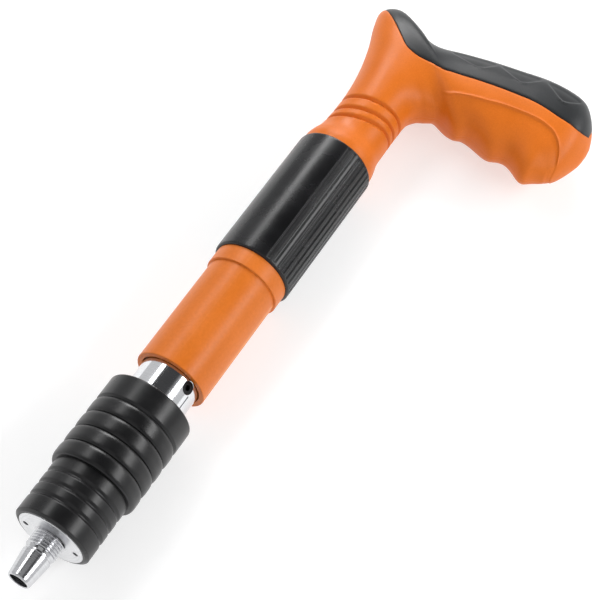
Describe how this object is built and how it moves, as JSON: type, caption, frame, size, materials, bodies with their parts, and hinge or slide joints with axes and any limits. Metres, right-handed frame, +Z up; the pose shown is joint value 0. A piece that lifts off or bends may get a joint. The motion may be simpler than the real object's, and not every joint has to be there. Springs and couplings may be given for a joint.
{
  "type": "manual nail gun",
  "caption": "Hand-pressed spring-striker nail gun with a slim nozzle, ribbed muffler, sliding steel tube, grip sleeve and a cane-shaped handle with a soft back strap.",
  "frame": {"origin": "centre of the nail bore at the nozzle's mouth", "axes": "+X along the tube from the nozzle to the handle; the grip points to -Y; +Z is up with the tool lying on its side"},
  "size_m": [0.3739, 0.1327, 0.0434],
  "materials": {
    "polished_steel": "polished",
    "satin_aluminium": "satin, turned",
    "black_rubber": "satin moulded",
    "plain_steel": "turned",
    "spring_steel": "drawn wire",
    "bronze": "machined",
    "orange_paint": "satin powder coat",
    "orange_plastic": "satin moulded",
    "black_grip": "gloss moulded",
    "strap_rubber": "satin overmould",
    "black_oxide": "black oxide"
  },
  "bodies": {
    "housing": {"outer_tube": "orange_paint", "tube_ring": "orange_paint", "front_bush": "bronze", "grip_sleeve": "black_grip", "return_spring": "spring_steel", "trip_sleeve": "plain_steel", "trip_sleeve_screws": "black_oxide", "main_spring": "spring_steel", "rear_plug": "plain_steel", "handle_shell_top": "orange_plastic", "handle_shell_bottom": "orange_plastic", "handle_back_strap": "strap_rubber", "handle_screws": "black_oxide"},
    "muzzle": {"nozzle": "plain_steel", "front_disc": "satin_aluminium", "muffler_sleeve": "black_rubber", "muffler_can": "plain_steel", "baffle_plates": "plain_steel", "baffle_spacers": "satin_aluminium", "muffler_rear_cap": "plain_steel", "pin_tube": "plain_steel", "slide_tube": "polished_steel", "slide_set_screw": "black_oxide", "stop_ring": "spring_steel", "pin_bush": "bronze", "pin_stop_plug": "bronze", "pin_spring": "spring_steel"},
    "firing_pin": {"firing_pin": "polished_steel"},
    "striker": {"striker": "plain_steel", "sear_spring": "spring_steel"},
    "sear": {"sear": "plain_steel"}
  },
  "joints": [
    {"name": "press_slide", "type": "slide", "parent": "housing", "child": "muzzle", "axis": [1, 0, 0], "range_m": [0, 0.0135], "stiffness_N_per_m": 1500, "springref_m": -0.01, "deforming": ["return_spring"]},
    {"name": "pin_slide", "type": "slide", "parent": "muzzle", "child": "firing_pin", "axis": [-1, 0, 0], "range_m": [0, 0.004], "stiffness_N_per_m": 300, "springref_m": -0.003, "deforming": ["pin_spring"]},
    {"name": "striker_slide", "type": "slide", "parent": "housing", "child": "striker", "axis": [1, 0, 0], "range_m": [0, 0.0135], "stiffness_N_per_m": 1200, "springref_m": -0.008, "deforming": ["main_spring"]},
    {"name": "sear_slide", "type": "slide", "parent": "striker", "child": "sear", "axis": [0, 0, -1], "range_m": [0, 0.003], "stiffness_N_per_m": 60, "springref_m": -0.001, "deforming": ["sear_spring"]}
  ],
  "couplings": [
    {"joint": "striker_slide", "follows": "press_slide", "ratio": 1},
    {"joint": "sear_slide", "follows": "press_slide", "ratio": 0.2222}
  ]
}
